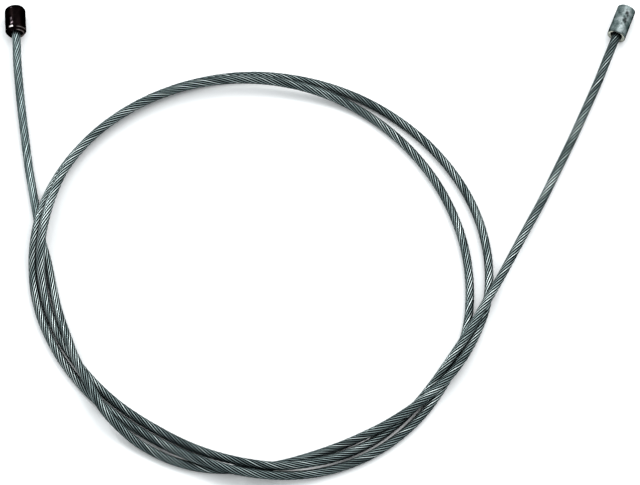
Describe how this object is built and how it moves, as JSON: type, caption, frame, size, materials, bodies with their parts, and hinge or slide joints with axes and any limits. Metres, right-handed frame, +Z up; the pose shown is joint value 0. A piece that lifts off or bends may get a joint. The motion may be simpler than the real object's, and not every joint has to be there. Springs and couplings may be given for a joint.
{
  "type": "brake cable",
  "caption": "Bare stranded steel brake cable in a loose open coil, with a cylindrical anchor barrel fixed coaxially on each end.",
  "frame": {"origin": "on the floor under the middle of the object's box, with the cable lying on Z = 0", "axes": "+X from the dark barrel's side to the zinc barrel's side, +Y the way both barrels point, +Z up from the floor"},
  "size_m": [0.2352, 0.197, 0.0088],
  "materials": {
    "wire_strand": "galvanised single wires, slightly greasy, grey-green",
    "black_barrel": "glossy near-black coating",
    "zinc_barrel": "as-cast zinc, mottled silver grey"
  },
  "bodies": {
    "root": {"wire_strand": "wire_strand", "black_barrel": "black_barrel", "zinc_barrel": "zinc_barrel"}
  },
  "joints": []
}
